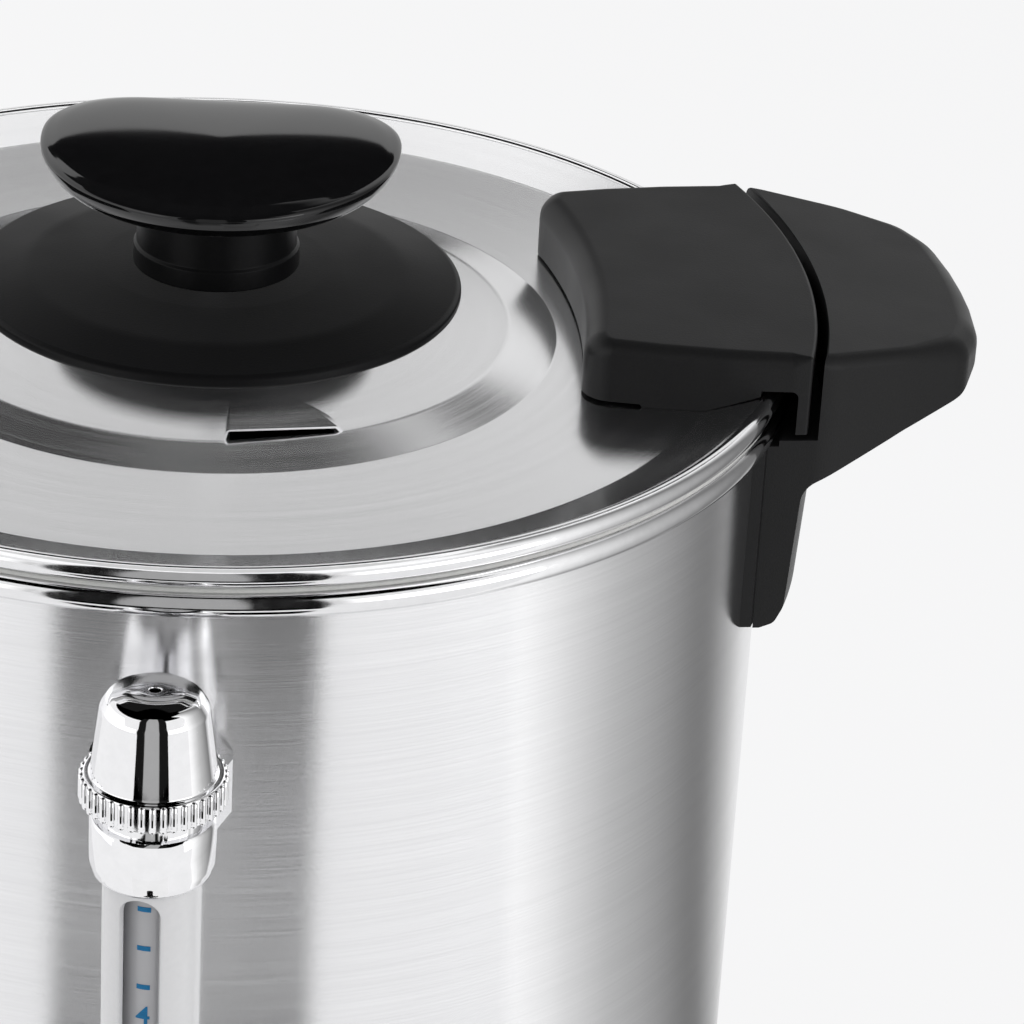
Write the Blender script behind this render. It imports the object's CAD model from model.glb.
"""Dresses the hot water urn: fine shapes, finishes, light and the camera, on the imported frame."""
import math

import bmesh
import bpy
from mathutils import Matrix, Vector


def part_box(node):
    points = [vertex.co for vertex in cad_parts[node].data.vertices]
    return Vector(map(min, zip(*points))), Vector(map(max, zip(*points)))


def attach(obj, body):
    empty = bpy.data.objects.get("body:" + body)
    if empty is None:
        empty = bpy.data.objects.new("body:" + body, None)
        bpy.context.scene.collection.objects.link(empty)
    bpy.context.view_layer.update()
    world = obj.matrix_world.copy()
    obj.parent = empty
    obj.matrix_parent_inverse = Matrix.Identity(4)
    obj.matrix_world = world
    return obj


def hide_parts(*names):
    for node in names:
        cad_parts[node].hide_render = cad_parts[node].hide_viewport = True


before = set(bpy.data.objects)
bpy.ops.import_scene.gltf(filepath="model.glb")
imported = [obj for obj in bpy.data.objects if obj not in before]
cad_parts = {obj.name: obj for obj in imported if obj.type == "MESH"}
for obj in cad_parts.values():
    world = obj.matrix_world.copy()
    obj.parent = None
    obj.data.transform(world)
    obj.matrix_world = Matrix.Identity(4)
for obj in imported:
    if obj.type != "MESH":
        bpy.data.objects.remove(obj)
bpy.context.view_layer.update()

bl_info = {
    "name": "Hot water urn",
    "version": (1, 0, 0),
    "blender": (4, 5, 0),
    "location": "View3D > Sidebar > Urn",
    "description": "Builds the fine shapes and finishes of a hot water urn on its packed frame",
    "category": "Object",
}

MM = 0.001
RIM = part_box("pot_shell")[1]
GAUGE_Y = (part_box("gauge_glass")[0].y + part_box("gauge_glass")[1].y) / 2 / MM
DOUBLES = 2e-6
FINISHES = {}


class UrnSizes(bpy.types.PropertyGroup):
    """Sizes of the fine shapes."""

    rim_radius: bpy.props.FloatProperty(
        name="Rim radius", description="Outer radius of the rolled rim", default=RIM.x, unit="LENGTH")
    rim_height: bpy.props.FloatProperty(
        name="Rim height", description="Height of the top of the rolled rim", default=RIM.z, unit="LENGTH")
    turn_steps: bpy.props.IntProperty(
        name="Turned steps", description="Faces around the large turned pieces", default=224, min=48)
    handle_turn: bpy.props.FloatProperty(
        name="Handle turn", description="Angle of the handles from the side line",
        default=math.radians(8), subtype="ANGLE")
    window_turn: bpy.props.FloatProperty(
        name="Window turn", description="Angle of the gauge's window from the front, to the left",
        default=math.radians(10), subtype="ANGLE")
    ridge_count: bpy.props.IntProperty(
        name="Knurl ridges", description="Number of ridges on the gauge cap", default=42, min=8)
    mark_step: bpy.props.FloatProperty(
        name="Mark step", description="Distance between two marks of the gauge",
        default=0.00785, unit="LENGTH")
    mark_top: bpy.props.FloatProperty(
        name="Top mark", description="Height of the gauge's top mark", default=0.2228, unit="LENGTH")
    numeral_height: bpy.props.FloatProperty(
        name="Numeral height", description="Height of a numeral on the gauge", default=0.0036, unit="LENGTH")


class UrnColours(bpy.types.PropertyGroup):
    """Colours of the finishes."""

    steel: bpy.props.FloatVectorProperty(
        name="Steel", description="Colour of the brushed steel",
        default=(0.86, 0.86, 0.87), subtype="COLOR")
    chrome: bpy.props.FloatVectorProperty(
        name="Chrome", description="Colour of the chromed pieces",
        default=(0.93, 0.93, 0.94), subtype="COLOR")
    plastic: bpy.props.FloatVectorProperty(
        name="Plastic", description="Colour of the moulded plastic",
        default=(0.011, 0.011, 0.0115), subtype="COLOR")
    gloss: bpy.props.FloatVectorProperty(
        name="Gloss plastic", description="Colour of the knob",
        default=(0.006, 0.006, 0.0065), subtype="COLOR")
    shield: bpy.props.FloatVectorProperty(
        name="Shield", description="Colour of the gauge's shield",
        default=(0.96, 0.96, 0.97), subtype="COLOR")
    ink: bpy.props.FloatVectorProperty(
        name="Ink", description="Colour of the gauge's marks", default=(0.0, 0.22, 0.5), subtype="COLOR")
    backdrop: bpy.props.FloatVectorProperty(
        name="Backdrop", description="Colour of the floor and the surroundings",
        default=(0.965, 0.965, 0.97), subtype="COLOR")


# Meshes

def rounded(points, steps=5, closed=True, reach=0.48):
    """A profile of (r, z) or (r, z, rounding): corners with a rounding become arcs."""
    out, n = [], len(points)
    for i, p in enumerate(points):
        here = Vector(p[:2])
        if len(p) < 3 or not p[2] or (not closed and i in (0, n - 1)):
            out.append(tuple(here))
            continue
        a = Vector(points[i - 1][:2]) - here
        b = Vector(points[(i + 1) % n][:2]) - here
        la, lb = a.length, b.length
        a, b = a / la, b / lb
        half = a.angle(b) / 2
        if half > math.radians(89.5):
            out.append(tuple(here))
            continue
        cut = min(p[2] / math.tan(half), la * reach, lb * reach)
        radius = cut * math.tan(half)
        centre = here + (a + b).normalized() * (radius / math.sin(half))
        start, end = here + a * cut - centre, here + b * cut - centre
        swing = math.atan2(start.x * end.y - start.y * end.x, start.dot(end))
        for k in range(steps + 1):
            t = swing * k / steps
            c, s = math.cos(t), math.sin(t)
            out.append((centre.x + start.x * c - start.y * s, centre.y + start.x * s + start.y * c))
    return out


def arc(centre, radius, first, last, steps):
    """Points of an arc in a profile, angles in degrees from the outward direction."""
    angles = [math.radians(first + (last - first) * k / steps) for k in range(steps + 1)]
    return [(centre[0] + radius * math.cos(a), centre[1] + radius * math.sin(a)) for a in angles]


def turned(bm, profile, steps, centre=(0.0, 0.0)):
    """Adds a closed turned profile of (r, z) points, in millimetres, to a mesh."""
    rings = []
    for r, z in profile:
        if r < 1e-5:
            rings.append([bm.verts.new((centre[0], centre[1], z))])
            continue
        rings.append([
            bm.verts.new((centre[0] + r * math.cos(2 * math.pi * k / steps),
                          centre[1] + r * math.sin(2 * math.pi * k / steps), z))
            for k in range(steps)])
    for a, b in zip(rings, rings[1:] + rings[:1]):
        for k in range(steps):
            n = (k + 1) % steps
            corners = [a[k % len(a)], a[n % len(a)], b[n % len(b)], b[k % len(b)]]
            corners = [c for i, c in enumerate(corners) if c not in corners[:i]]
            if len(corners) > 2:
                bm.faces.new(corners)


def piece(name, bm, material, outward=True):
    """Turns a mesh in millimetres into an object of the part."""
    if outward:
        bmesh.ops.recalc_face_normals(bm, faces=bm.faces)
    bmesh.ops.scale(bm, vec=(MM, MM, MM), verts=bm.verts)
    mesh = bpy.data.meshes.new(name)
    bm.to_mesh(mesh)
    bm.free()
    return placed(name, mesh, material)


def placed(name, mesh, material):
    """An object for a mesh, with its material."""
    mesh.materials.clear()
    mesh.materials.append(material)
    obj = bpy.data.objects.new(name, mesh)
    bpy.context.scene.collection.objects.link(obj)
    return obj


def turned_mesh(profile, steps, centre=(0.0, 0.0)):
    """A mesh of one turned profile."""
    bm = bmesh.new()
    turned(bm, profile, steps, centre)
    return bm


def turned_piece(name, profile, material, steps=None, centre=(0.0, 0.0)):
    """A piece that is one turned profile."""
    steps = steps or bpy.context.scene.urn_sizes.turn_steps
    return piece(name, turned_mesh(profile, steps, centre), material)


def strips(bm, rings):
    """Faces between closed rings of corners."""
    for a, b in zip(rings, rings[1:]):
        for k in range(len(a)):
            n = (k + 1) % len(a)
            bm.faces.new((a[k], a[n], b[n], b[k]))


def smooth(obj, angle, weighted=False):
    """Smooth shading with sharp edges above an angle."""
    obj.data.shade_smooth()
    obj.data.set_sharp_from_angle(angle=math.radians(angle))
    if weighted:
        mod = obj.modifiers.new("Even shading", "WEIGHTED_NORMAL")
        mod.keep_sharp = True


def join_frame(obj, body, slot, *nodes):
    """Hangs a finished piece on its body of the frame."""
    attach(obj, body)
    if nodes:
        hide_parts(*nodes)


def fitted(obj, angle, body, slot, *nodes, even=False):
    """Shades a finished piece and hangs it on its body of the frame."""
    smooth(obj, angle, weighted=even)
    join_frame(obj, body, slot, *nodes)


def merged_node(name, node, material):
    """A copy of a node's mesh with its triangles joined."""
    flat = math.radians(0.4)
    bm = bmesh.new()
    bm.from_mesh(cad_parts[node].data)
    bmesh.ops.remove_doubles(bm, verts=bm.verts, dist=DOUBLES)
    bmesh.ops.dissolve_limit(
        bm, angle_limit=flat, use_dissolve_boundaries=False, verts=bm.verts, edges=bm.edges)
    mesh = bpy.data.meshes.new(name)
    bm.to_mesh(mesh)
    bm.free()
    return placed(name, mesh, material)


def cut_away(obj, cutter):
    """Takes a mesh in millimetres out of a piece."""
    tool = piece(obj.name + "_tool", cutter, obj.data.materials[0])
    mod = obj.modifiers.new("Cut", "BOOLEAN")
    mod.operation = "DIFFERENCE"
    mod.solver = "EXACT"
    mod.object = tool
    graph = bpy.context.evaluated_depsgraph_get()
    mesh = bpy.data.meshes.new_from_object(obj.evaluated_get(graph))
    obj.modifiers.remove(mod)
    if not len(mesh.polygons):
        raise RuntimeError(obj.name + " was cut away")
    old = obj.data
    obj.data = mesh
    bpy.data.meshes.remove(old)
    bpy.data.objects.remove(tool)


def arc_x(centre, radius, y):
    """Where an arc about a point on the X axis is at y."""
    return centre + math.sqrt(radius * radius - y * y)


def between(value, low, high):
    """How far a value is from low to high, eased at both ends."""
    t = min(max((value - low) / (high - low), 0.0), 1.0)
    return t * t * (3 - 2 * t)


def eased(obj, width, segments, angle=40.0):
    """Rounds the sharp edges of a piece."""
    mod = obj.modifiers.new("Eased edges", "BEVEL")
    mod.width = width * MM
    mod.segments = segments
    mod.limit_method = "ANGLE"
    mod.angle_limit = math.radians(angle)
    mod.harden_normals = True
    mod.use_clamp_overlap = True
    return mod


def carried(node, body, slot, material, width, segments=2):
    """A node whose shape is right, as a smooth piece with eased edges."""
    obj = merged_node(node + "_dressed", node, material)
    if width:
        eased(obj, width, segments)
    fitted(obj, 35, body, slot, node)


# Nodes of materials and trees

def added(tree, kind, inputs=None, **settings):
    """A node with its settings; an input takes a value, a socket to link, or a list of sockets."""
    node = tree.nodes.new(kind)
    for key, value in settings.items():
        setattr(node, key, value)
    for key, value in (inputs or {}).items():
        if isinstance(value, (list, bpy.types.NodeSocket)):
            for socket in value if isinstance(value, list) else [value]:
                tree.links.new(socket, node.inputs[key])
        else:
            node.inputs[key].default_value = value
    return node


def mathed(tree, operation, *values):
    """A Math node on values or sockets."""
    return added(tree, "ShaderNodeMath", dict(enumerate(values)), operation=operation).outputs[0]


def seen_rays(tree):
    """1 for rays from the camera and for mirrored or refracted rays, 0 for the rest."""
    path = added(tree, "ShaderNodeLightPath").outputs
    return mathed(tree, "MAXIMUM", path["Is Camera Ray"], mathed(
        tree, "MAXIMUM", path["Is Glossy Ray"], path["Is Transmission Ray"]))


def tone(colour, share):
    """A colour made darker or lighter."""
    return tuple(min(1.0, c * share) for c in colour)


# Materials

def finish(name, colour, roughness, metallic=0.0, **sockets):
    """A material with its shader and Object coordinates."""
    mat = bpy.data.materials.new(name)
    mat.use_nodes = True
    tree = mat.node_tree
    shader = tree.nodes["Principled BSDF"]
    values = {"Base Color": (*colour, 1.0), "Roughness": roughness, "Metallic": metallic}
    values.update((key.replace("_", " "), value) for key, value in sockets.items())
    for key, value in values.items():
        shader.inputs[key].default_value = value
    return mat, tree, shader, added(tree, "ShaderNodeTexCoord").outputs["Object"]


def spread(tree, value, low, high, at=(0.3, 0.7)):
    """A value mapped from a pattern's middle range to low and high."""
    node = added(tree, "ShaderNodeMapRange", {
        "Value": value, "From Min": at[0], "From Max": at[1], "To Min": low, "To Max": high})
    return node.outputs["Result"]


def grain(tree, vector, scale, detail, rough=0.55):
    """A noise pattern on a vector."""
    return added(tree, "ShaderNodeTexNoise", {
        "Vector": vector, "Scale": scale, "Detail": detail, "Roughness": rough}).outputs["Fac"]


def roughened(tree, shader, pattern, low, high):
    """Roughness between two values by a pattern."""
    tree.links.new(spread(tree, pattern, low, high), shader.inputs["Roughness"])


def raised(tree, shader, height, strength, distance):
    """Bump from a pattern."""
    bump = added(tree, "ShaderNodeBump", {"Strength": strength, "Distance": distance, "Height": height})
    tree.links.new(bump.outputs["Normal"], shader.inputs["Normal"])


def tinted(tree, shader, value, dark, light):
    """Base colour between two tones by a pattern."""
    factor, first, second, result = 0, 6, 7, 2
    mix = added(tree, "ShaderNodeMix", {
        factor: value, first: (*dark, 1.0), second: (*light, 1.0)}, data_type="RGBA")
    tree.links.new(mix.outputs[result], shader.inputs["Base Color"])


def brushed_steel(name, around, low, high, stretch):
    """Steel brushed along circles, round the body or on the flat of the lid."""
    colour = tuple(bpy.context.scene.urn_colours.steel)
    streak, depth = (0.7, 0.08) if around else (0.5, 0.015)
    mat, tree, shader, place = finish(
        name, colour, low, 1.0, Anisotropic=stretch, Anisotropic_Rotation=0.25)
    x, y, z = added(tree, "ShaderNodeSeparateXYZ", {0: place}).outputs
    angle = mathed(tree, "ARCTAN2", x, mathed(tree, "MULTIPLY", y, -1.0))
    across = z
    if not around:
        squares = [mathed(tree, "MULTIPLY", axis, axis) for axis in (x, y)]
        across = mathed(tree, "SQRT", mathed(tree, "ADD", *squares))
    lines = added(tree, "ShaderNodeCombineXYZ", {
        0: mathed(tree, "MULTIPLY", across, 1 / MM),
        1: mathed(tree, "MULTIPLY", angle, streak)}).outputs[0]
    fine = grain(tree, lines, 2.6, 4.0, 0.7)
    broad = grain(tree, lines, 0.35, 2.0)
    roughened(tree, shader, fine, low, high)
    mixed = mathed(tree, "ADD", mathed(tree, "MULTIPLY", fine, 0.7), mathed(tree, "MULTIPLY", broad, 0.3))
    tinted(tree, shader, spread(tree, mixed, 0.0, 1.0, (0.35, 0.65)), tone(colour, 0.95), tone(colour, 1.03))
    raised(tree, shader, fine, depth, 0.0002)
    tangent = added(tree, "ShaderNodeTangent", direction_type="RADIAL", axis="Z")
    tree.links.new(tangent.outputs[0], shader.inputs["Tangent"])
    return mat


def moulded_plastic(name, colour, roughness, grain_size, depth, vary=0.12, **sockets):
    """Plastic with a fine spark texture."""
    mat, tree, shader, place = finish(name, colour, roughness, **sockets)
    fine = grain(tree, place, 1.0 / (grain_size * MM), 2.0)
    roughened(tree, shader, grain(tree, place, 45.0, 2.0), roughness * 0.92, roughness * 1.08)
    tinted(tree, shader, spread(tree, fine, 0.0, 1.0), tone(colour, 1 - vary), tone(colour, 1 + vary))
    raised(tree, shader, fine, depth, 0.00012)
    return mat


def polished_metal(name, colour, roughness, smear):
    """Polished or plated metal with faint polishing marks."""
    mat, tree, shader, place = finish(name, colour, roughness, 1.0)
    fine = grain(tree, place, 420.0, 3.0)
    roughened(tree, shader, fine, roughness * 0.7, roughness + smear)
    tinted(tree, shader, spread(tree, fine, 0.0, 1.0), tone(colour, 0.97), tone(colour, 1.02))
    raised(tree, shader, fine, 0.006, 0.0002)
    return mat


def clear_lens(name, colour, roughness, weight):
    """Clear or tinted transparent material with faint dust."""
    mat, tree, shader, place = finish(name, colour, roughness, Transmission_Weight=weight, IOR=1.46)
    roughened(tree, shader, grain(tree, place, 900.0, 2.0), roughness, roughness + 0.04)
    return mat


def all_finishes():
    """Every finish of the urn by its name."""
    c = bpy.context.scene.urn_colours
    steel, plastic, gloss, rubber = tuple(c.steel), tuple(c.plastic), tuple(c.gloss), (0.022, 0.022, 0.022)
    return {
        "steel": brushed_steel("steel_brushed_round", True, 0.16, 0.22, 1.0),
        "steel_lid": brushed_steel("steel_brushed_flat", False, 0.17, 0.24, 0.5),
        "steel_inside": brushed_steel("steel_plain", True, 0.3, 0.42, 0.3),
        "steel_rim": polished_metal("steel_polished", steel, 0.08, 0.05),
        "chrome": polished_metal("chrome_plating", tuple(c.chrome), 0.03, 0.03),
        "hardware": polished_metal("zinc_plating", (0.55, 0.55, 0.56), 0.26, 0.12),
        "aluminium": polished_metal("cast_aluminium", (0.66, 0.67, 0.68), 0.42, 0.2),
        "black_matte": moulded_plastic(
            "plastic_fine_texture", plastic, 0.42, 0.35, 0.25, Specular_IOR_Level=0.24),
        "black_gloss": moulded_plastic("plastic_gloss", gloss, 0.05, 2.5, 0.004),
        "black_satin": moulded_plastic("plastic_satin", gloss, 0.4, 0.4, 0.2, Specular_IOR_Level=0.12),
        "black_rubber": moulded_plastic("rubber_matt", rubber, 0.8, 0.5, 0.5, Specular_IOR_Level=0.3),
        "silicone": moulded_plastic("silicone_milky", (0.74, 0.74, 0.72), 0.5, 0.8, 0.1, 0.04),
        "ceramic": moulded_plastic("ceramic_matt", (0.78, 0.76, 0.71), 0.6, 0.6, 0.2, 0.05),
        "wire": moulded_plastic("wire_sleeve", (0.05, 0.05, 0.055), 0.55, 0.5, 0.2),
        "shield": moulded_plastic("shield_white", tuple(c.shield), 0.18, 1.2, 0.004, 0.012),
        "ink": moulded_plastic("ink_blue", tuple(c.ink), 0.45, 0.3, 0.05),
        "glass": clear_lens("gauge_glass_clear", (0.86, 0.86, 0.88), 0.06, 0.3),
        "lamp_red": clear_lens("lens_red", (0.75, 0.05, 0.03), 0.08, 0.55),
        "lamp_green": clear_lens("lens_green", (0.06, 0.5, 0.12), 0.08, 0.55),
    }


def paint(name):
    """A finish by its name; all are made at the first call."""
    if not FINISHES:
        FINISHES.update(all_finishes())
    return FINISHES[name]


# Repeated pieces

def node_tree(name, sizes):
    """A Geometry Nodes tree with named sizes, a material and one geometry output."""
    tree = bpy.data.node_groups.new(name, "GeometryNodeTree")
    sockets = [("Geometry", "Geometry")] + [(label, "Float") for label in sizes] + [("Material", "Material")]
    for label, kind in sockets:
        tree.interface.new_socket(label, in_out="INPUT", socket_type="NodeSocket" + kind)
    tree.interface.new_socket("Geometry", in_out="OUTPUT", socket_type="NodeSocketGeometry")
    return tree, added(tree, "NodeGroupInput").outputs


def ending(tree, given, shape, rotation=None):
    """Ends a tree in one real mesh: a shape on every given point, with the given material."""
    seats = {"Points": given["Geometry"], "Instance": shape}
    if rotation is not None:
        seats["Rotation"] = rotation
    copies = added(tree, "GeometryNodeInstanceOnPoints", seats)
    real = added(tree, "GeometryNodeRealizeInstances", {0: copies.outputs[0]})
    dressed = added(tree, "GeometryNodeSetMaterial", {
        "Geometry": real.outputs[0], "Material": given["Material"]})
    added(tree, "NodeGroupOutput", {0: dressed.outputs[0]})
    return tree


def grown(name, tree, values, base, material):
    """The plain mesh that a tree makes from a base mesh, as an object."""
    host = bpy.data.objects.new(name + "_host", base)
    bpy.context.scene.collection.objects.link(host)
    mod = host.modifiers.new("Nodes", "NODES")
    mod.node_group = tree
    values = dict(values, Material=material)
    for item in tree.interface.items_tree:
        if item.in_out == "INPUT" and item.name in values:
            mod[item.identifier] = values[item.name]
    graph = bpy.context.evaluated_depsgraph_get()
    mesh = bpy.data.meshes.new_from_object(host.evaluated_get(graph))
    host.modifiers.remove(mod)
    bpy.data.objects.remove(host)
    if not len(mesh.polygons):
        raise RuntimeError(name + " came out empty")
    mesh.name = name
    return placed(name, mesh, material)


def point_mesh(name, points, aims=None):
    """A mesh of points in millimetres, each with the way it looks."""
    mesh = bpy.data.meshes.new(name)
    mesh.from_pydata([Vector(p) * MM for p in points], [], [])
    if aims:
        layer = mesh.attributes.new("aim", "FLOAT_VECTOR", "POINT")
        for item, aim in zip(layer.data, aims):
            item.vector = aim
    return mesh


def ridge_tree():
    """Rounded upright ridges on every point of the base mesh."""
    tree, given = node_tree("Knurl ridges", ("Ridge Radius", "Half Length"))
    ball = added(tree, "GeometryNodeMeshUVSphere", {
        "Segments": 10, "Rings": 8, "Radius": given["Ridge Radius"]})
    place = added(tree, "GeometryNodeInputPosition").outputs[0]
    height = added(tree, "ShaderNodeSeparateXYZ", {0: place}).outputs[2]
    rise = mathed(tree, "MULTIPLY", mathed(tree, "SIGN", height), given["Half Length"])
    shift = added(tree, "ShaderNodeCombineXYZ", {2: rise})
    ridge = added(tree, "GeometryNodeSetPosition", {
        "Geometry": ball.outputs["Mesh"], "Offset": shift.outputs[0]})
    ridge = added(tree, "GeometryNodeSetShadeSmooth", {"Geometry": ridge.outputs[0]})
    return ending(tree, given, ridge.outputs[0])


def mark_tree():
    """Short printed bars bent round the gauge glass, one on each point."""
    tree, given = node_tree("Gauge marks", ("Bar Width", "Bar Height", "Bend Radius", "Turn"))
    ink_depth = 0.00008
    size = added(tree, "ShaderNodeCombineXYZ", {0: given["Bar Width"], 1: ink_depth, 2: given["Bar Height"]})
    bar = added(tree, "GeometryNodeMeshCube", {"Size": size.outputs[0], "Vertices X": 9})
    place = added(tree, "GeometryNodeInputPosition").outputs[0]
    x, y, z = added(tree, "ShaderNodeSeparateXYZ", {0: place}).outputs
    radius = mathed(tree, "SUBTRACT", given["Bend Radius"], y)
    angle = mathed(tree, "DIVIDE", x, given["Bend Radius"])
    ahead = mathed(tree, "MULTIPLY", radius, mathed(tree, "COSINE", angle))
    bent = added(tree, "ShaderNodeCombineXYZ", {
        0: mathed(tree, "MULTIPLY", radius, mathed(tree, "SINE", angle)),
        1: mathed(tree, "MULTIPLY", ahead, -1.0), 2: z})
    mark = added(tree, "GeometryNodeSetPosition", {
        "Geometry": bar.outputs["Mesh"], "Position": bent.outputs[0]})
    turn = added(tree, "ShaderNodeCombineXYZ", {2: given["Turn"]})
    return ending(tree, given, mark.outputs[0], turn.outputs[0])


def screw_tree():
    """Pan-head screws with a cross recess, on points that look along the shank."""
    tree, given = node_tree("Cross screws", ("Head Radius", "Head Height", "Shank Radius", "Length"))
    radius, height, length = given["Head Radius"], given["Head Height"], given["Length"]

    def times(value, share):
        return mathed(tree, "MULTIPLY", value, share)

    def moved(shape, rise):
        shift = added(tree, "ShaderNodeCombineXYZ", {2: rise})
        return added(tree, "GeometryNodeTransform", {
            "Geometry": shape, "Translation": shift.outputs[0]}).outputs[0]

    def spun(shape, *angles):
        return added(tree, "GeometryNodeTransform", {"Geometry": shape, "Rotation": angles}).outputs[0]

    def cylinder(r, depth, count):
        return added(tree, "GeometryNodeMeshCylinder", {
            "Vertices": count, "Radius": r, "Depth": depth}).outputs["Mesh"]

    lower = moved(cylinder(radius, times(height, 0.6), 32), times(height, -0.3))
    dome = added(tree, "GeometryNodeMeshCone", {
        "Vertices": 32, "Radius Bottom": radius, "Radius Top": times(radius, 0.72),
        "Depth": times(height, 0.4)}).outputs["Mesh"]
    upper = moved(spun(dome, math.pi, 0, 0), times(height, -0.6))
    shank = moved(cylinder(given["Shank Radius"], length, 24), times(length, 0.499))
    size = added(tree, "ShaderNodeCombineXYZ", {0: times(radius, 1.1), 1: times(radius, 0.24), 2: height})
    slots = []
    for turn in (0.0, math.pi / 2):
        bar = added(tree, "GeometryNodeMeshCube", {"Size": size.outputs[0]}).outputs["Mesh"]
        slots.append(spun(moved(bar, times(height, -1.0)), 0, 0, turn))
    whole = added(tree, "GeometryNodeMeshBoolean", {"Mesh 2": [lower, upper, shank]}, operation="UNION")
    cut = added(tree, "GeometryNodeMeshBoolean", {
        "Mesh 1": whole.outputs["Mesh"], "Mesh 2": slots}, operation="DIFFERENCE")
    aim = added(tree, "GeometryNodeInputNamedAttribute", {"Name": "aim"}, data_type="FLOAT_VECTOR")
    align = added(tree, "FunctionNodeAlignRotationToVector", {"Vector": aim.outputs["Attribute"]}, axis="Z")
    return ending(tree, given, cut.outputs["Mesh"], align.outputs[0])


def screws(name, seats, aims, length, body, node, scale=1.0):
    """Screws at their seats in millimetres, in place of a node."""
    obj = grown(name, screw_tree(), {
        "Head Radius": 0.004 * scale, "Head Height": 0.0022 * scale, "Shank Radius": 0.002 * scale,
        "Length": length * MM}, point_mesh(name + "_seats", seats, aims), paint("hardware"))
    fitted(obj, 30, body, "hardware", node)


def about(angle, x, y, z):
    """A point turned about the urn's axis."""
    c, s = math.cos(angle), math.sin(angle)
    return (x * c - y * s, x * s + y * c, z)


# Operators

class URN_OT_vessel(bpy.types.Operator):
    """The brushed body with its rolled rim."""

    bl_idname = "urn.vessel"
    bl_label = "Vessel"

    def execute(self, context):
        sizes = context.scene.urn_sizes
        rim_r, rim_z = sizes.rim_radius / MM, sizes.rim_height / MM
        bead = 2.5
        mid = (rim_r - bead, rim_z - bead)
        wall = rim_r - 3.3
        profile = [(wall - 1.0, 54.0), (wall, 54.0), (wall, 120.0), (wall, 200.0), (wall, mid[1] - 1.2),
                   (wall - 1.0, mid[1] - 0.8), (wall - 1.0, 180.0), (wall - 1.0, 100.0)]
        obj = turned_piece("vessel_wall", profile, paint("steel"))
        fitted(obj, 45, "urn", "steel", "pot_shell", even=True)
        rim = turned_piece("vessel_rim", arc(mid, bead, -180, 174, 39), paint("steel_rim"))
        fitted(rim, 60, "urn", "steel")
        return {"FINISHED"}


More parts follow.
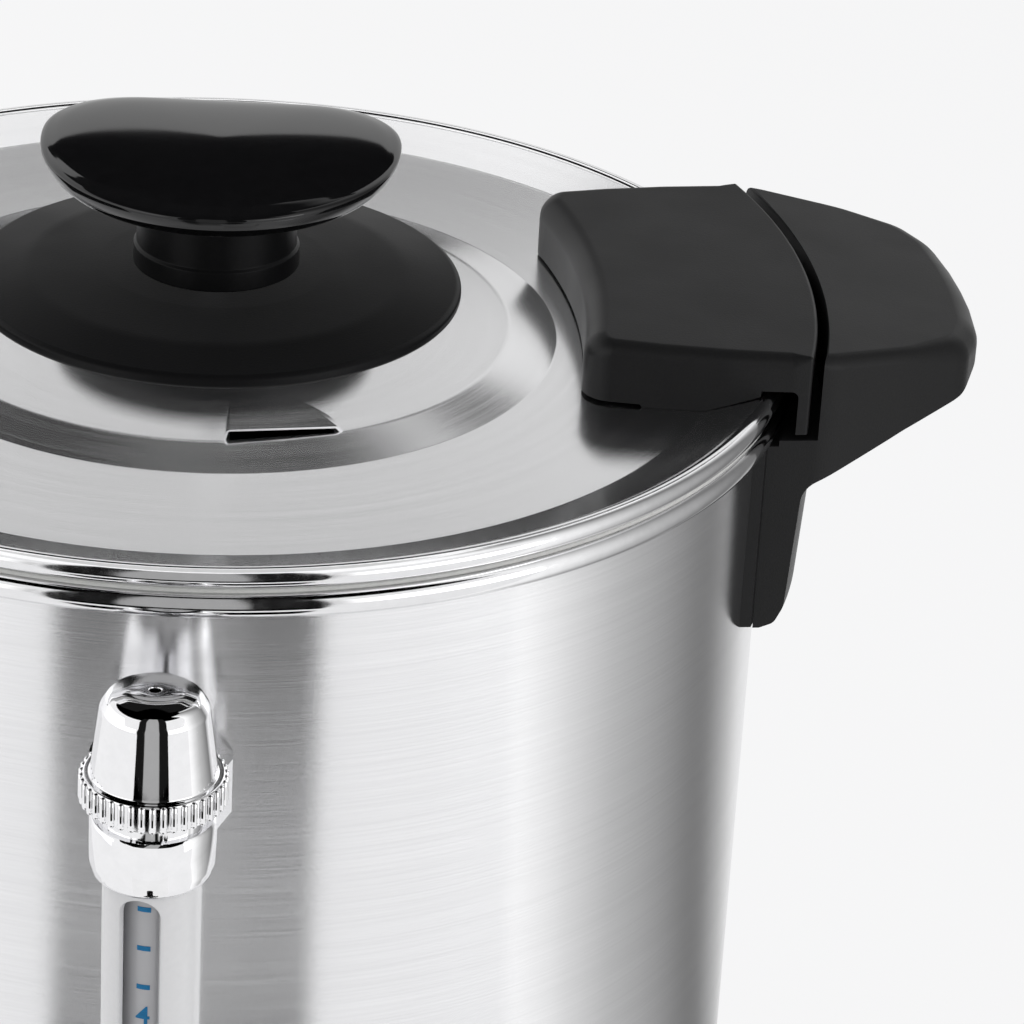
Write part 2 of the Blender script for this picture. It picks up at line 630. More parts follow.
class URN_OT_lid(bpy.types.Operator):
    """The pressed lid with its rolled edge, steam vent, inner ring and gasket."""

    bl_idname = "urn.lid"
    bl_label = "Lid"

    vent_turn, vent_aside = math.radians(16.5), 0.7
    vent_half, vent_taper, vent_back = 10.3, 4.0, -39.0

    def execute(self, context):
        sizes = context.scene.urn_sizes
        rim_r, rim_z = sizes.rim_radius / MM, sizes.rim_height / MM
        steps, bead, z = sizes.turn_steps, 1.9, rim_z + 1.0
        middle = z + 2
        upper = rounded([
            (0, middle), (56.4, middle, 6.0), (65.6, z, 1.6), (97.4, z, 2.5), (107.0, z + 3.1, 1.0),
            (107.9, z + 3.35)], 6, closed=False)[:-1]
        lower = [(107.2, z + 1.9), (97.7, z - 1), (65.4, z - 1), (56.1, z + 1), (0, z + 1)]
        plate = turned_piece(
            "lid_pressing", upper + [(108.0, z + 3.2), (108.0, z + 2.4)] + lower, paint("steel_lid"))
        cut_away(plate, self.slot(middle))
        bm = bmesh.new()
        bm.from_mesh(plate.data)
        mesh = plate.data
        bpy.data.objects.remove(plate)
        bpy.data.meshes.remove(mesh)
        bmesh.ops.scale(bm, vec=(1 / MM,) * 3, verts=bm.verts)
        self.hood(bm, middle)
        turned(bm, rounded([
            (101.0, z - 8, 0.45), (102.0, z - 8, 0.45), (102.0, z + 0.6), (101.0, z + 0.4)], 3), steps)
        plate = piece("lid_pressing", bm, paint("steel_lid"), outward=False)
        fitted(plate, 40, "lid", "steel", "lid_plate", even=True)
        rolled = arc((rim_r - bead, z + bead), bead, -180, 173, 35)
        edge = turned_piece("lid_edge", rolled, paint("steel_rim"))
        fitted(edge, 60, "lid", "steel")
        ring = turned_piece("lid_seal", rounded([
            (102.0, rim_z - 6, 0.3), (103.6, rim_z - 6, 0.7), (103.6, rim_z, 0.4), (109.6, rim_z, 0.4),
            (109.6, rim_z + 1, 0.4), (102.0, rim_z + 1)], 4), paint("silicone"))
        fitted(ring, 50, "lid", "silicone", "lid_gasket")
        return {"FINISHED"}

    def slot(self, z):
        """The wedge that the steam slot takes out of the lid, as a mesh in millimetres."""
        inset, low, high, front = 0.5, -1.4, 1.5, -55.2
        back, half = self.vent_back - inset, self.vent_half - inset
        end = half - self.vent_taper
        corners = [(-half, front, low), (half, front, low), (end, back, low), (-end, back, low),
                   (-half, front, high), (half, front, high), (end, back, 0.05), (-end, back, 0.05)]
        bm = bmesh.new()
        v = [bm.verts.new(about(self.vent_turn, x + self.vent_aside, y, z + h)) for x, y, h in corners]
        for ids in ((0, 1, 2, 3), (4, 5, 6, 7), (0, 1, 5, 4), (1, 2, 6, 5), (2, 3, 7, 6), (3, 0, 4, 7)):
            bm.faces.new([v[i] for i in ids])
        return bm

    def hood(self, bm, z):
        """Adds the thin raised sheet over the steam slot, which is higher on its left."""
        front, high, sheet, rows = -55.0, 1.95, 0.36, 8
        outer, inner = [], []
        for k in range(rows + 1):
            t = k / rows
            y = front + (self.vent_back - front) * t
            half = self.vent_half - self.vent_taper * t
            left = high * (1 - t) ** 1.1 + 0.03
            right = left * 0.55
            bend = 0.9 * (1 - t) + 0.05
            flank = 0.5 + 2.0 * math.sin(math.pi * min(t + 0.12, 1.0))
            over = [(-half - 0.6, -0.6), (-half, left, bend),
                    (half, right, bend * 0.4), (half + flank, -0.25)]
            under = [(-half + sheet - 0.6, -0.6), (-half + sheet, left - sheet, 0.3),
                     (half - sheet, right - sheet, 0.3), (half - sheet + flank, -0.6)]
            for grid, outline in ((outer, over), (inner, under)):
                grid.append([bm.verts.new(about(self.vent_turn, x + self.vent_aside, y, z + h))
                             for x, h in rounded(outline, 4, closed=False)])
        left_side, right_side = ([[row[i] for row in grid] for grid in (outer, inner)] for i in (0, -1))
        rims = list(zip(outer, outer[1:])) + list(zip(inner[1:], inner))
        rims += [(inner[0], outer[0]), (outer[-1], inner[-1]), left_side, right_side[::-1]]
        faces = [bm.faces.new((a[i], a[i + 1], b[i + 1], b[i])) for a, b in rims for i in range(len(a) - 1)]
        bmesh.ops.recalc_face_normals(bm, faces=faces)


class URN_OT_knob(bpy.types.Operator):
    """The knob, its neck and the wide disc under it."""

    bl_idname = "urn.knob"
    bl_label = "Knob"

    def execute(self, context):
        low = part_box("knob_base")[0].z / MM
        disc = low + 5.7
        top = disc + 5.5
        foot = turned_piece("knob_disc_foot", rounded([
            (2.6, low), (30.3, low, 0.6), (30.3, disc + 3.2), (2.6, disc + 3.2)], 6), paint("black_matte"))
        fitted(foot, 45, "lid", "black_matte", "knob_base", even=True)
        plate = turned_piece("knob_disc_plate", rounded([
            (2.6, disc), (46.4, disc, 0.5), (46.9, disc + 0.6, 0.6), (46.9, disc + 1.9, 0.8),
            (46.0, disc + 2.5, 1.6), (36.0, disc + 4.1, 30.0), (22.0, disc + 5.15, 20.0), (15.5, top, 2.0),
            (2.6, top)], 6), paint("black_satin"))
        fitted(plate, 45, "lid", "black_matte", even=True)
        mid = low + 31.9
        crown = [
            (0.0, 2.35), (0.3, 2.25), (0.55, 2.0), (0.75, 1.6), (0.88, 1.08), (0.95, 0.52), (0.985, 0.08),
            (1.0, -0.6), (0.985, -2.2), (0.95, -3.8), (0.9, -4.9), (0.82, -5.4), (0.65, -5.65), (0.5, -5.75)]
        grip = self.crown(self.curve([(f, mid + h) for f, h in crown], 6))
        fitted(grip, 50, "lid", "black_gloss", "knob_grip", even=True)
        neck = turned_piece("knob_grip_neck", rounded([
            (2.5, mid - 5.4), (17.0, mid - 5.4, 0.3), (15.2, mid - 6.3, 1.2), (15.2, top + 6.2),
            (15.25, top + 4.3, 0.4), (15.75, top + 3.8, 0.3), (15.8, top, 0.3), (2.5, top)], 4),
            paint("black_satin"))
        fitted(neck, 50, "lid", "black_gloss", even=True)
        for obj in (plate, grip, neck):
            obj.visible_glossy = False
        return {"FINISHED"}

    def crown(self, profile):
        """The knob's crown over a profile of (share of the width, height)."""
        outline, middle, turn = self.outline(160), Vector((0.0, 4.0)), math.radians(1.0)
        bm = bmesh.new()
        rings = []
        for share, z in profile:
            loop = [middle + (p - middle) * share for p in outline]
            rings.append([bm.verts.new(about(turn, x, y, z)) for x, y in loop])
        strips(bm, rings)
        bm.faces.new(rings[-1])
        bmesh.ops.remove_doubles(bm, verts=bm.verts, dist=1e-4)
        return piece("knob_grip_crown", bm, paint("black_gloss"))

    def outline(self, count):
        """The knob from above: a round front and two back corners in even steps, softened where they meet."""
        half, front, shift, back, corner = 34.4, 39.2, 9.4, 29.9, 16.8
        loop = [Vector((half * math.cos(a), shift + front * math.sin(a)))
                for a in (math.pi * (1 + k / 96) for k in range(97))]
        for sign, first in ((1, 0.0), (-1, 0.5)):
            middle = Vector((sign * (half - corner), back - corner))
            loop += [middle + Vector((corner * math.cos(a), corner * math.sin(a)))
                     for a in (math.pi * (first + k / 48) for k in range(25))]
        lengths = [(b - a).length for a, b in zip(loop, loop[1:] + loop[:1])]
        step, walked, out, k = sum(lengths) / count, 0.0, [], 0
        for i in range(count):
            while walked + lengths[k] < i * step:
                walked += lengths[k]
                k += 1
            share = (i * step - walked) / max(lengths[k], 1e-9)
            out.append(loop[k].lerp(loop[(k + 1) % len(loop)], share))
        for _ in range(14):
            out = [(out[i - 1] + out[i] * 2 + out[(i + 1) % count]) / 4 for i in range(count)]
        return out

    def curve(self, points, steps):
        """A smooth curve through the points of a profile."""
        out = []
        pts = [Vector(p) for p in points]
        pts = [Vector((-pts[1].x, pts[1].y))] + pts + [pts[-1] * 2 - pts[-2]]
        for a, b, c, d in zip(pts, pts[1:], pts[2:], pts[3:]):
            for k in range(steps):
                t = k / steps
                p = 0.5 * ((2 * b) + (c - a) * t + (2 * a - 5 * b + 4 * c - d) * t * t
                           + (3 * b - a - 3 * c + d) * t ** 3)
                out.append((max(p.x, 0.0), p.y))
        return out + [tuple(points[-1])]


class URN_OT_handles(bpy.types.Operator):
    """Both handles with their pads, and both lid locks."""

    bl_idname = "urn.handles"
    bl_label = "Handles and locks"

    outer, half, crest = -38.8, 42.6, 287.6

    def execute(self, context):
        sizes = context.scene.urn_sizes
        for side in ("right", "left"):
            turn = sizes.handle_turn + (0 if side == "right" else math.pi)
            lock = self.lock("lock_" + side + "_moulding", turn)
            join_frame(lock, "lid", "black_matte", "lock_" + side)
            handle = self.handle("handle_" + side + "_moulding", turn)
            join_frame(handle, "urn", "black_matte", "handle_" + side)
            carried("pad_" + side, "urn", "black_matte", paint("black_matte"), 0.7)
        return {"FINISHED"}

    def solid(self, outline, low, top, rounding):
        """An upright mesh over an outline, with its upper edge rounded; top and rounding are functions."""
        bm = bmesh.new()
        n, steps = len(outline), 7
        points = [Vector(p) for p in outline]
        rows = [[bm.verts.new((p.x, p.y, low)) for p in points]]
        sides = []
        for i in range(n):
            a, b = points[i] - points[i - 1], points[(i + 1) % n] - points[i]
            along = a.normalized() + b.normalized()
            sides.append(Vector((along.y, -along.x)).normalized())
        for k in range(steps + 1):
            t = math.pi / 2 * k / steps
            row = []
            for p, out in zip(points, sides):
                r = rounding(p.x, p.y)
                q = p - out * (r * (1 - math.cos(t)))
                row.append(bm.verts.new((q.x, q.y, top(q.x, q.y) - r * (1 - math.sin(t)))))
            rows.append(row)
        strips(bm, rows)
        bm.faces.new(rows[-1])
        bm.faces.new(rows[0][::-1])
        return bm

    def finished(self, obj, turn):
        """Turns a piece to its side of the urn and evens its shading."""
        bm = bmesh.new()
        bm.from_mesh(obj.data)
        bmesh.ops.remove_doubles(bm, verts=bm.verts, dist=DOUBLES)
        bmesh.ops.rotate(bm, cent=(0, 0, 0), matrix=Matrix.Rotation(turn, 3, "Z"), verts=bm.verts)
        bm.to_mesh(obj.data)
        bm.free()
        smooth(obj, 32, weighted=True)
        return obj

    def lock(self, name, turn):
        """A lid lock between two arcs, hollow over the rim."""
        outer, half, inner, arc_r = self.outer, self.half, -83.0, 153.0
        front = [(104.9, 1.0), (92.6, 0.98), (80.3, 0.935), (71.5, 0.888)]
        edge = arc_x(outer, arc_r, half)
        plan = [(edge, -half, 0.8)]
        plan += [(arc_x(outer, arc_r, y), y) for y in range(-38, 39, 4)]
        plan += [(edge, half, 0.8)]
        plan += [(x, half * f, 20.0) for x, f in front]
        plan += [(arc_x(inner, arc_r, 36.3), 36.3, 6.5)]
        plan += [(arc_x(inner, arc_r, y), y) for y in range(28, -29, -4)]
        plan += [(arc_x(inner, arc_r, 36.3), -36.3, 6.5)]
        plan += [(x, -half * f, 20.0) for x, f in front[::-1]]

        def top(x, y):
            return self.crest + (arc_r - math.hypot(x - outer, y)) / 44.2

        def rounding(x, y):
            joint = between(arc_r - math.hypot(x - outer, y), 0.0, 5.0)
            inside = between(math.hypot(x - inner, y) - arc_r, 6.0, 0.0)
            return 0.8 + 1.9 * joint + 1.6 * inside

        obj = piece(name, self.solid(rounded(plan, 6, reach=0.9), 271.8, top, rounding), paint("black_matte"))
        under = [(0, 260), (0, 276.6), (86, 276.6), (86.4, 276.04), (97.4, 276.04), (107.5, 279.5),
                 (107.5, 260)]
        cut_away(obj, turned_mesh(under, 180))
        room = [(arc_x(0, 107.4, y), y) for y in range(60, -61, -4)]
        room += [(arc_x(outer, arc_r - 2.2, y), y) for y in range(-60, 61, 4)]
        cut_away(obj, self.solid(room, 260, lambda x, y: 280.6,
                                 lambda x, y: 1.4 if math.hypot(x - outer, y) > arc_r - 3 else 0.05))
        return self.finished(obj, turn)

    def handle(self, name, turn):
        """A handle: its wing with the joint to the lock, and its leg on the body."""
        outer, half, arc_r, reach = self.outer, self.half, 155.0, 146.4
        side = [(112.0, half, 12.0), (127.5, 36.3, 60.0), (140.6, 29.4, 9.0), (145.0, 20.2, 16.0)]
        end = [(arc_x(0, reach, y), y) for y in (-8, 0, 8)]
        plan = [(96.0, -half)] + [(x, -y, r) for x, y, r in side] + end + side[::-1] + [(96.0, half)]

        def top(x, y):
            return self.crest - 3.3 * min(max((math.hypot(x, y) - 116.2) / 28.7, 0.0), 1.0)

        def rounding(x, y):
            return 2.6 + 1.8 * between(x, 128.0, 142.0)

        obj = piece(name, self.solid(rounded(plan, 7, reach=0.9), 231.0, top, rounding), paint("black_matte"))
        joint = [
            (0, 270.6), (arc_r, 270.6), (arc_r, 286.6), (arc_r + 0.12, 287.05), (arc_r + 0.4, 287.4),
            (arc_r + 0.9, 287.58), (arc_r + 2.5, 287.7), (arc_r + 2.5, 300), (0, 300)]
        cut_away(obj, turned_mesh(joint, 360, (outer, 0)))
        room = rounded([
            (110.4, 230.9), (113.2, 232.0, 2.0), (114.7, 235.4, 4.0), (116.2, 260.6, 5.0),
            (132.9, 269.4, 20.0), (143.6, 273.6, 2.5), (146.6, 277.2), (165.0, 279.0), (165.0, 225.0),
            (110.4, 225.0)], 6)
        cut_away(obj, turned_mesh(room, 240))
        inside = [(0, 225), (109.5, 225), (109.5, 269.4), (111.4, 269.4), (111.4, 300), (0, 300)]
        cut_away(obj, turned_mesh(inside, 240))
        return self.finished(obj, turn)


class URN_OT_gauge(bpy.types.Operator):
    """The sight gauge: holder, knurled cap, shield, glass, marks and seals."""

    bl_idname = "urn.gauge"
    bl_label = "Sight gauge"

    ink_r = 0.00504

    def execute(self, context):
        sizes = context.scene.urn_sizes
        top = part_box("gauge_cap")[1].z / MM
        knurl = top - 20.1
        self.cap(top, knurl, sizes)
        carried("gauge_holder", "urn", "chrome", paint("chrome"), 0.5)
        self.shield(sizes.window_turn)
        low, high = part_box("gauge_glass")[0].z / MM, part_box("gauge_glass")[1].z / MM
        glass = turned_piece("gauge_tube", rounded([
            (4.0, low, 0.3), (5.0, low, 0.3), (5.0, high, 0.3), (4.0, high, 0.3)], 3),
            paint("glass"), 72, (0, GAUGE_Y))
        fitted(glass, 40, "urn", "glass", "gauge_glass", even=True)
        carried("gauge_seals", "urn", "silicone", paint("silicone"), 0.3)
        self.marks(sizes)
        return {"FINISHED"}

    def cap(self, top, knurl, sizes):
        """The turned cap and the ridges round it."""
        profile = rounded([
            (1.0, top - 2), (1.0, top, 0.3), (5.0, top - 0.15, 8.0), (8.0, top - 0.9, 2.2),
            (9.35, top - 3.2, 2.4), (10.85, knurl + 4.9), (10.95, knurl + 4.4, 0.3), (12.2, knurl + 4.4, 0.5),
            (12.2, knurl - 0.9, 0.5), (9.45, knurl - 0.9), (9.45, top - 9.5), (7.0, top - 9.5),
            (7.0, top - 3)], 6)
        cap = turned_piece("gauge_cap_turned", profile, paint("chrome"), 128, (0, GAUGE_Y))
        fitted(cap, 45, "gauge_cap", "chrome", "gauge_cap", even=True)
        ridge_r, count = 12.22, sizes.ridge_count
        turns = [2 * math.pi * k / count for k in range(count)]
        points = [(ridge_r * math.cos(a), GAUGE_Y + ridge_r * math.sin(a), knurl + 1.75) for a in turns]
        ridges = grown("gauge_cap_ridges", ridge_tree(), {"Ridge Radius": 0.00062, "Half Length": 0.00195},
                       point_mesh("ridge_seats", points), paint("chrome"))
        join_frame(ridges, "gauge_cap", "chrome")

    def shield(self, turn):
        """The shield: a tube with a long window that has round ends."""
        low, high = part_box("gauge_shield")[0].z / MM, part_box("gauge_shield")[1].z / MM
        r, thick, half = 8.6, 1.2, 3.7
        first, last = 129.0, 226.6
        rows = [low, 116.0, 122.0]
        rows += [first + half - half * math.cos(math.pi / 2 * k / 8) for k in range(9)]
        rows += [first + half + (last - first - 2 * half) * k / 6 for k in range(1, 6)]
        rows += [last - half + half * math.sin(math.pi / 2 * k / 8) for k in range(9)]
        rows += [high]
        bm = bmesh.new()
        grid, columns = [], 72
        for z in rows:
            gap = 0.0
            if first <= z <= last:
                reach = min(z - first, last - z, half)
                gap = math.sqrt(max(half * half - (half - reach) ** 2, 0.0))
            open_angle = math.asin(gap / r)
            ring = []
            for k in range(columns + 1):
                a = -math.pi / 2 - turn + open_angle + (2 * math.pi - 2 * open_angle) * k / columns
                ring.append(bm.verts.new((r * math.cos(a), GAUGE_Y + r * math.sin(a), z)))
            grid.append(ring)
        for a, b in zip(grid, grid[1:]):
            for k in range(columns):
                bm.faces.new((a[k], a[k + 1], b[k + 1], b[k]))
        bmesh.ops.remove_doubles(bm, verts=bm.verts, dist=1e-4)
        obj = piece("gauge_shield_tube", bm, paint("shield"))
        wall = obj.modifiers.new("Wall", "SOLIDIFY")
        wall.thickness = thick * MM
        wall.offset = -1.0
        wall.use_even_offset = True
        edge = eased(obj, 0.25, 2, 50)
        edge.harden_normals = False
        fitted(obj, 40, "urn", "shield", "gauge_shield")

    def marks(self, sizes):
        """Printed marks at every quarter and numerals at every litre."""
        step, top = sizes.mark_step / MM, sizes.mark_top / MM
        heights = [top - step * k for k in range(12)]
        bars = [(0.0, GAUGE_Y, h) for k, h in enumerate(heights) if k % 4 != 3]
        obj = grown("gauge_marks", mark_tree(), {
            "Bar Width": 0.0024, "Bar Height": 0.00095, "Bend Radius": self.ink_r,
            "Turn": -sizes.window_turn}, point_mesh("mark_seats", bars), paint("ink"))
        join_frame(obj, "urn", "glass")
        for k, digit in zip((3, 7, 11), "432"):
            self.numeral(digit, heights[k] + 1.8, sizes)

    def numeral(self, digit, z, sizes):
        """One numeral, bent on the glass."""
        curve = bpy.data.curves.new("numeral_" + digit, "FONT")
        curve.body = digit
        curve.size = sizes.numeral_height * 1.45
        curve.align_x = "CENTER"
        curve.align_y = "CENTER"
        curve.extrude = 0.00004
        curve.offset = 0.00006
        text = bpy.data.objects.new("numeral_" + digit, curve)
        bpy.context.scene.collection.objects.link(text)
        graph = bpy.context.evaluated_depsgraph_get()
        mesh = bpy.data.meshes.new_from_object(text.evaluated_get(graph))
        bpy.data.objects.remove(text)
        bm = bmesh.new()
        bm.from_mesh(mesh)
        for cut in (-0.0008, -0.0004, 0.0, 0.0004, 0.0008):
            bmesh.ops.bisect_plane(bm, geom=bm.verts[:] + bm.edges[:] + bm.faces[:],
                                   plane_co=(cut, 0, 0), plane_no=(1, 0, 0))
        for v in bm.verts:
            r = self.ink_r + v.co.z
            a = v.co.x / self.ink_r - sizes.window_turn
            v.co = (r * math.sin(a), GAUGE_Y * MM - r * math.cos(a), z * MM + v.co.y)
        bm.to_mesh(mesh)
        bm.free()
        obj = placed("gauge_numeral_" + digit, mesh, paint("ink"))
        fitted(obj, 40, "urn", "glass")


class URN_OT_tap(bpy.types.Operator):
    """The lever tap with its valve."""

    bl_idname = "urn.tap"
    bl_label = "Tap"

    def execute(self, context):
        for node, body, slot, width in (
                ("tap_body", "urn", "chrome", 0.6), ("tap_bonnet", "urn", "chrome", 0.5),
                ("tap_nut", "urn", "chrome", 0.4), ("tap_washers", "urn", "silicone", 0.3),
                ("tap_pin", "urn", "hardware", 0.25), ("tap_lever", "tap_lever", "black_gloss", 1.1),
                ("tap_stem", "tap_stem", "hardware", 0.3), ("tap_plug", "tap_stem", "silicone", 0.5)):
            carried(node, body, slot, paint(slot), width, segments=3)
        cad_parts["tap_spring"].data.materials.clear()
        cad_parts["tap_spring"].data.materials.append(paint("hardware"))
        return {"FINISHED"}


class URN_OT_base(bpy.types.Operator):
    """The base with its feet, panel, switch, lamps and inlet."""

    bl_idname = "urn.base"
    bl_label = "Base"

    def execute(self, context):
        for node, body, slot, width in (
                ("base_skirt", "urn", "black_matte", 0.9), ("base_plate", "urn", "steel_inside", 0.2),
                ("feet", "urn", "black_rubber", 0.8), ("centre_foot", "urn", "black_rubber", 0.8),
                ("switch_frame", "urn", "black_matte", 0.4),
                ("switch_rocker", "switch_rocker", "black_gloss", 0.4),
                ("lamp_heating", "urn", "lamp_red", 0.25), ("lamp_ready", "urn", "lamp_green", 0.25),
                ("power_inlet", "urn", "black_matte", 0.5)):
            record_slot = "steel" if slot == "steel_inside" else slot
            carried(node, body, record_slot, paint(slot), width)
        return {"FINISHED"}


class URN_OT_inside(bpy.types.Operator):
    """The heater and what is hidden under the floor."""

    bl_idname = "urn.inside"
    bl_label = "Inside"

    def execute(self, context):
        for node, slot, finish_name, width in (
                ("pot_floor", "steel", "steel_inside", 0.2), ("heat_plate", "aluminium", "aluminium", 0.4),
                ("heater_coil", "hardware", "hardware", 0.0),
                ("thermostat", "black_matte", "black_matte", 0.3),
                ("thermal_cutout", "ceramic", "ceramic", 0.3), ("tie_rod", "hardware", "hardware", 0.3),
                ("tie_nut", "hardware", "hardware", 0.3), ("wiring", "wire", "wire", 0.0)):
            carried(node, "urn", slot, paint(finish_name), width)
        return {"FINISHED"}


class URN_OT_screws(bpy.types.Operator):
    """Screws of the handles, locks, feet, gauge and knob."""

    bl_idname = "urn.screws"
    bl_label = "Screws"

    def execute(self, context):
        sizes = context.scene.urn_sizes
        seats, aims, lids = [], [], []
        seat = math.sqrt(106.5 ** 2 - 16.0)
        for side in (0.0, math.pi):
            for a in (-12, 12):
                turn = sizes.handle_turn + side + math.radians(a)
                seats.append(about(turn, seat, 0, 247.0))
                aims.append(about(turn, 1, 0, 0))
            lids += [about(sizes.handle_turn + side, 91.0, y, 275.0) for y in (-18, 18)]
        screws("handle_screw_set", seats, aims, 114.7 - 1.5 - seat, "urn", "handle_screws")
        screws("lock_screw_set", lids, [(0, 0, 1)] * 4, 9.7, "lid", "lock_screws")
        feet = [about(math.radians(a), 98.5, 0, 4.04) for a in (45, 135, 225, 315)]
        screws("foot_screw_set", feet, [(0, 0, 1)] * 4, 9.8, "urn", "foot_screws")
        screws("gauge_screw_set", [(0, -seat, 235.1)], [(0, -1, 0)], 111.2 - seat, "urn", "gauge_screw")
        screws("knob_screw_set", [(0, 0, 276.0)], [(0, 0, 1)], 25.9, "lid", "knob_screw", 1.2)
        carried("knob_washer", "lid", "hardware", paint("hardware"), 0.2)
        return {"FINISHED"}


class URN_OT_stage(bpy.types.Operator):
    """Floor, soft light, reflected cards and the camera."""

    bl_idname = "urn.stage"
    bl_label = "Stage"

    def execute(self, context):
        scene = context.scene
        scene.view_settings.view_transform = "Standard"
        backdrop = tuple(scene.urn_colours.backdrop)
        self.world(scene, backdrop)
        self.floor(backdrop)
        self.cards()
        self.lamp("key", (-1.1, 0.5, 1.5), (0, 0, 0.25), 1.0, 9.0)
        self.lamp("fill", (1.4, -0.4, 1.2), (0, 0, 0.2), 0.9, 5.0)
        self.camera(scene)
        return {"FINISHED"}

    def world(self, scene, backdrop):
        """Soft light all round, seen by the camera and in mirrors as the backdrop's colour."""
        scene.world = bpy.data.worlds.new("studio")
        tree = self.emptied(scene.world)
        soft = added(tree, "ShaderNodeBackground", {"Color": (1, 1, 1, 1), "Strength": 0.55})
        plain = added(tree, "ShaderNodeBackground", {"Color": (*tone(backdrop, 0.955), 1)})
        self.mixed(tree, "ShaderNodeOutputWorld", seen_rays(tree), soft, plain)

    def floor(self, backdrop):
        """A pale floor, seen by the camera and in mirrors mostly as the backdrop's colour."""
        bm = bmesh.new()
        bmesh.ops.create_grid(bm, x_segments=1, y_segments=1, size=6000)
        mat = bpy.data.materials.new("floor_pale")
        tree = self.emptied(mat)
        matt = added(tree, "ShaderNodeBsdfDiffuse", {"Color": (0.85, 0.85, 0.86, 1)})
        glow = added(tree, "ShaderNodeEmission", {"Color": (*backdrop, 1)})
        share = mathed(tree, "MULTIPLY", seen_rays(tree), 0.86)
        self.mixed(tree, "ShaderNodeOutputMaterial", share, matt, glow)
        piece("floor", bm, mat, outward=False)

    def emptied(self, owner):
        """The node tree of a material or a world, without its first nodes."""
        owner.use_nodes = True
        owner.node_tree.nodes.clear()
        return owner.node_tree

    def mixed(self, tree, output, share, first, second):
        """Ends a tree in a mix of two shaders."""
        mix = added(tree, "ShaderNodeMixShader", {0: share, 1: first.outputs[0], 2: second.outputs[0]})
        added(tree, output, {0: mix.outputs[0]})

    def cards(self):
        """Cards of (radius, height) and of (angle from the front, glow), some for a few pieces only."""
        far, seam, dark = 2600, 1318, 1950
        ring, front_low = ((far, 0), (far, seam)), ((-22.5, 0.9), (23.5, 0.9))
        lid, holder = ("lid_pressing", "lid_edge"), ("gauge_holder_dressed",)
        others = [o.name for o in bpy.data.objects if o.type == "MESH" and o.name != "lid_pressing"]
        for name, profile, glows, names in (
                ("card_front", ((500, 140), (500, 1000)), (
                    (-22.5, 0.01), (-11, 0.01), (-10, 0.4), (10, 0.4), (11, 0.01), (23.5, 0.01)), ()),
                ("card_front_low", ((200, 2), (370, 2)), front_low, holder),
                ("card_front_foot", ((500, 15), (500, 140)), front_low, holder),
                ("card_side", ((170, 2), (600, 2), (600, 1500)), (
                    (62, 1.08), (68, 1.0), (75, 0.8), (86, 0.55), (98, 0.4), (112, 0.22), (119, 0.2),
                    (130, 0.5), (142, 0.95)), ()),
                ("card_round_right", ring, (
                    (27, 0.6), (30, 1.2), (34, 1.65), (46, 2.0), (56, 2.9), (68, 2.6), (80, 1.5), (100, 1.0),
                    (130, 0.9), (150, 0.8), (175, 0.8)), ()),
                ("card_round_left", ring, (
                    (198, 0.8), (210, 0.8), (250, 1.1), (290, 1.4), (318, 1.7), (325, 1.6), (329, 1.1),
                    (333, 0.6)), ()),
                ("card_round_back", ring, ((175, 0.8), (198, 0.8)), others),
                ("card_overhead", ((0.1, far), (900, far)), ((0, 0.7), (360, 0.7)), lid),
                ("card_overhead_ring", ((900, far), (2620, far)), ((0, 1.15), (360, 1.15)), lid),
                ("card_back", ((far, seam), (far, dark)), ((158, 0.9), (202, 0.9)), lid),
                ("card_back_gap", ((far, dark), (far, far)), ((158, 0.1), (202, 0.1)), lid)):
            self.linked(self.card(name, profile, glows), names)
        flag = self.card("card_flag", ((66, 0), (240, 0)), ((-105, 0.01), (45, 0.01), (70, 0.6)))
        flag.location = (-0.026, 0.328, 0.6)

    def card(self, name, profile, glows):
        """A card bent round the urn, which only shiny pieces mirror."""
        bm = bmesh.new()
        layer = bm.verts.layers.float.new("glow")
        rows = []
        for (first, a), (last, b) in zip(glows, glows[1:]):
            count = max(1, round((last - first) / 5))
            rows += [(first + (last - first) * k / count, a + (b - a) * k / count) for k in range(count)]
        grid = []
        for angle, glow in rows + [glows[-1]]:
            turn = math.radians(angle)
            grid.append([bm.verts.new((r * math.sin(turn), -r * math.cos(turn), z)) for r, z in profile])
            for v in grid[-1]:
                v[layer] = glow
        for a, b in zip(grid, grid[1:]):
            for i in range(len(profile) - 1):
                bm.faces.new((a[i], b[i], b[i + 1], a[i + 1]))
        obj = piece(name, bm, bpy.data.materials.get("card_glow") or self.glowing(), outward=False)
        for ray in ("camera", "diffuse", "transmission", "volume_scatter", "shadow"):
            setattr(obj, "visible_" + ray, False)
        return obj

    def linked(self, obj, names):
        """Lets a card light the named pieces only, where any are named."""
        if names:
            lit = bpy.data.collections.new(obj.name + "_lit")
            for name in names:
                lit.objects.link(bpy.data.objects[name])
            obj.light_linking.receiver_collection = lit

    def glowing(self):
        """The material of the cards, which glow by an attribute of their mesh."""
        mat = bpy.data.materials.new("card_glow")
        tree = self.emptied(mat)
        level = added(tree, "ShaderNodeAttribute", attribute_name="glow")
        glow = added(tree, "ShaderNodeEmission", {"Strength": level.outputs["Fac"]})
        added(tree, "ShaderNodeOutputMaterial", {0: glow.outputs[0]})
        mat.cycles.emission_sampling = "NONE"
        return mat

    def lamp(self, name, place, target, size, power):
        """A round lamp that mirrors don't show."""
        data = bpy.data.lights.new(name, "AREA")
        data.shape = "DISK"
        data.size = size
        data.energy = power
        obj = bpy.data.objects.new(name, data)
        bpy.context.scene.collection.objects.link(obj)
        aim = Vector(target) - Vector(place)
        obj.matrix_world = Matrix.Translation(place) @ aim.to_track_quat("-Z", "Y").to_matrix().to_4x4()
        obj.visible_glossy = False

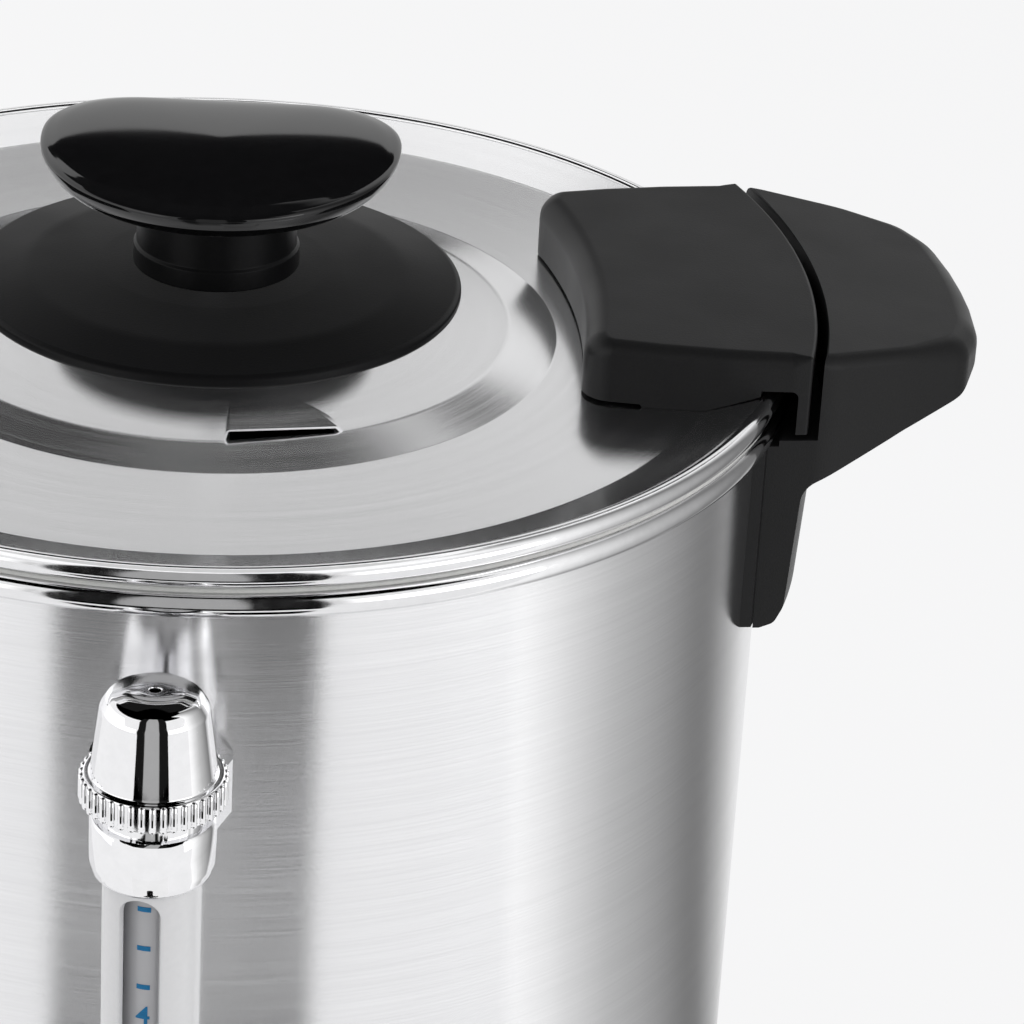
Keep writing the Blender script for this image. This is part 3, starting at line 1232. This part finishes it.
    def camera(self, scene):
        """The photograph's view point, in millimetres about the rim's middle."""
        pitch, yaw, roll, turn, rise = (math.radians(a) for a in (26.58, 4.55, 3.30, 4.05, 24.25))
        away = 7.362 * (scene.urn_sizes.rim_radius / MM)
        rim = Vector((0, 0, 275.0))
        eye = Vector((0, -away * math.cos(rise), away * math.sin(rise)))
        ahead = Vector((math.sin(yaw) * math.cos(pitch), math.cos(yaw) * math.cos(pitch), -math.sin(pitch)))
        right = ahead.cross(Vector((0, 0, 1))).normalized()
        up = right.cross(ahead)
        c, s = math.cos(roll), math.sin(roll)
        axes = Matrix((right * c + up * s, up * c - right * s, -ahead)).transposed()
        spin = Matrix.Rotation(turn, 3, "Z")
        data = bpy.data.cameras.new("photo_camera")
        data.sensor_width = 36.0
        data.lens = 148.86
        obj = bpy.data.objects.new("photo_camera", data)
        scene.collection.objects.link(obj)
        place = (spin @ eye + rim) * MM
        obj.matrix_world = Matrix.Translation(place) @ (spin @ axes).to_4x4()
        scene.camera = obj


class URN_PT_panel(bpy.types.Panel):
    """Lists the urn's sizes, colours and building steps."""

    bl_label = "Hot water urn"
    bl_idname = "URN_PT_panel"
    bl_space_type = "VIEW_3D"
    bl_region_type = "UI"
    bl_category = "Urn"

    def draw(self, context):
        for group in (context.scene.urn_sizes, context.scene.urn_colours):
            for key in group.__annotations__:
                self.layout.prop(group, key)
        for operator in OPERATORS:
            self.layout.operator(operator.bl_idname)


OPERATORS = (URN_OT_vessel, URN_OT_lid, URN_OT_knob, URN_OT_handles, URN_OT_gauge, URN_OT_tap,
             URN_OT_base, URN_OT_inside, URN_OT_screws, URN_OT_stage)
CLASSES = (UrnSizes, UrnColours) + OPERATORS + (URN_PT_panel,)


def register():
    for cls in CLASSES:
        bpy.utils.register_class(cls)
    bpy.types.Scene.urn_sizes = bpy.props.PointerProperty(type=UrnSizes)
    bpy.types.Scene.urn_colours = bpy.props.PointerProperty(type=UrnColours)


def unregister():
    del bpy.types.Scene.urn_colours
    del bpy.types.Scene.urn_sizes
    for cls in reversed(CLASSES):
        bpy.utils.unregister_class(cls)


def main():
    register()
    for operator in OPERATORS:
        group, name = operator.bl_idname.split(".")
        getattr(getattr(bpy.ops, group), name)()


if __name__ == "__main__":
    main()
